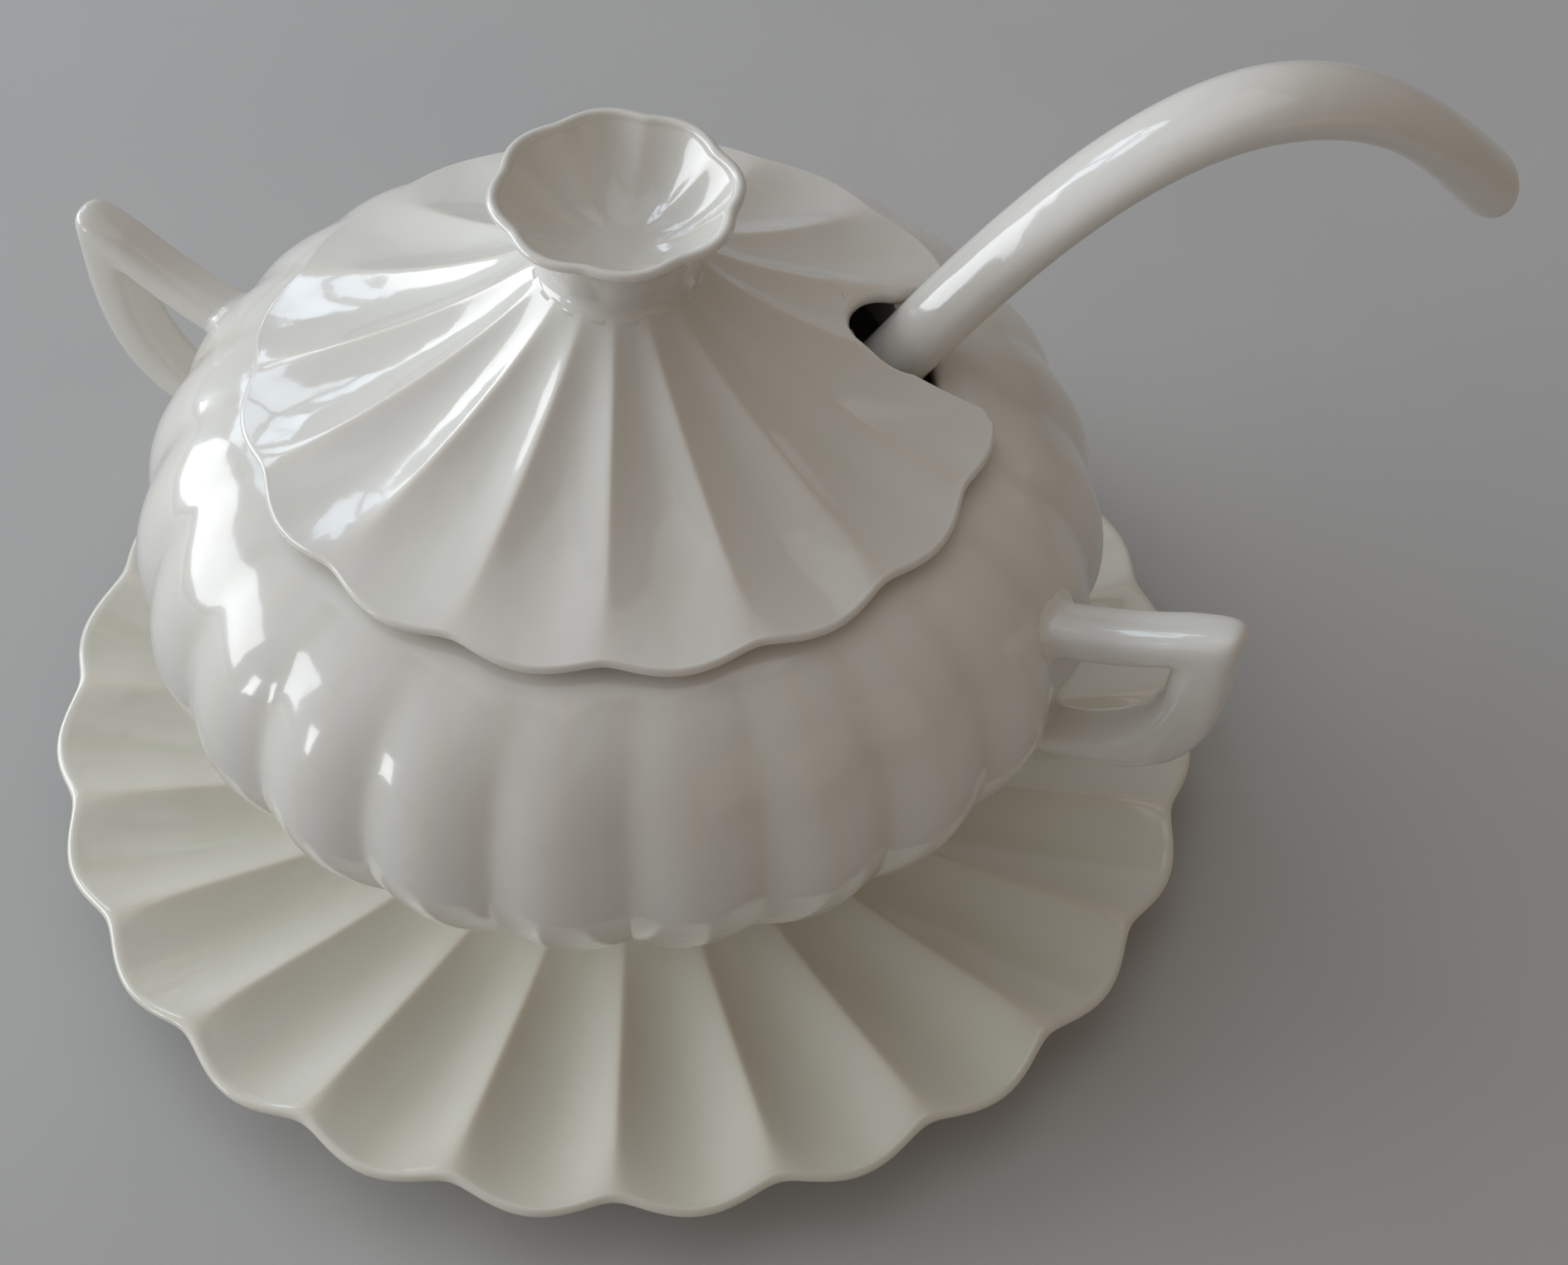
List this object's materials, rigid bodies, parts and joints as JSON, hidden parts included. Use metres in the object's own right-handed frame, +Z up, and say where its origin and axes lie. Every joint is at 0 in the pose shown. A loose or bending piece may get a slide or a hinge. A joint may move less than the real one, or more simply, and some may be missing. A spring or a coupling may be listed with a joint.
{
  "type": "soup tureen",
  "caption": "Covered soup tureen in white glazed earthenware with a fluted underplate, a notched fluted lid with a cup knob, two handles and a ladle",
  "frame": {"origin": "centre of the underplate's foot ring, in the plane it stands on", "axes": "+Z up; the bowl's two handles lie along +X and -X; the ladle and the lid's notch lie 36 degrees from +X towards +Y"},
  "size_m": [0.3413, 0.3194, 0.2197],
  "materials": {
    "underplate_glaze": "glossy cream-white glaze",
    "tureen_glaze": "glossy warm white glaze",
    "lid_glaze": "glossy warm white glaze",
    "ladle_glaze": "glossy warm white glaze",
    "bare_foot": "unglazed biscuit, matt"
  },
  "bodies": {
    "underplate": {"underplate": "underplate_glaze", "underplate_foot_ring": "bare_foot"},
    "tureen": {"tureen_bowl": "tureen_glaze", "bowl_foot_ring": "bare_foot", "handle_right": "tureen_glaze", "handle_left": "tureen_glaze"},
    "ladle": {"ladle_bowl": "ladle_glaze", "ladle_handle": "ladle_glaze"},
    "lid": {"lid_cover": "lid_glaze", "lid_flange": "lid_glaze", "lid_knob": "lid_glaze"}
  },
  "joints": [
    {"name": "tureen_lift", "type": "slide", "parent": "underplate", "child": "tureen", "axis": [0, 0, 1], "range_m": [0, 0.08]},
    {"name": "ladle_lift", "type": "slide", "parent": "tureen", "child": "ladle", "axis": [0, 0, 1], "range_m": [0, 0.14]},
    {"name": "lid_lift", "type": "slide", "parent": "ladle", "child": "lid", "axis": [0, 0, 1], "range_m": [0, 0.12]}
  ]
}
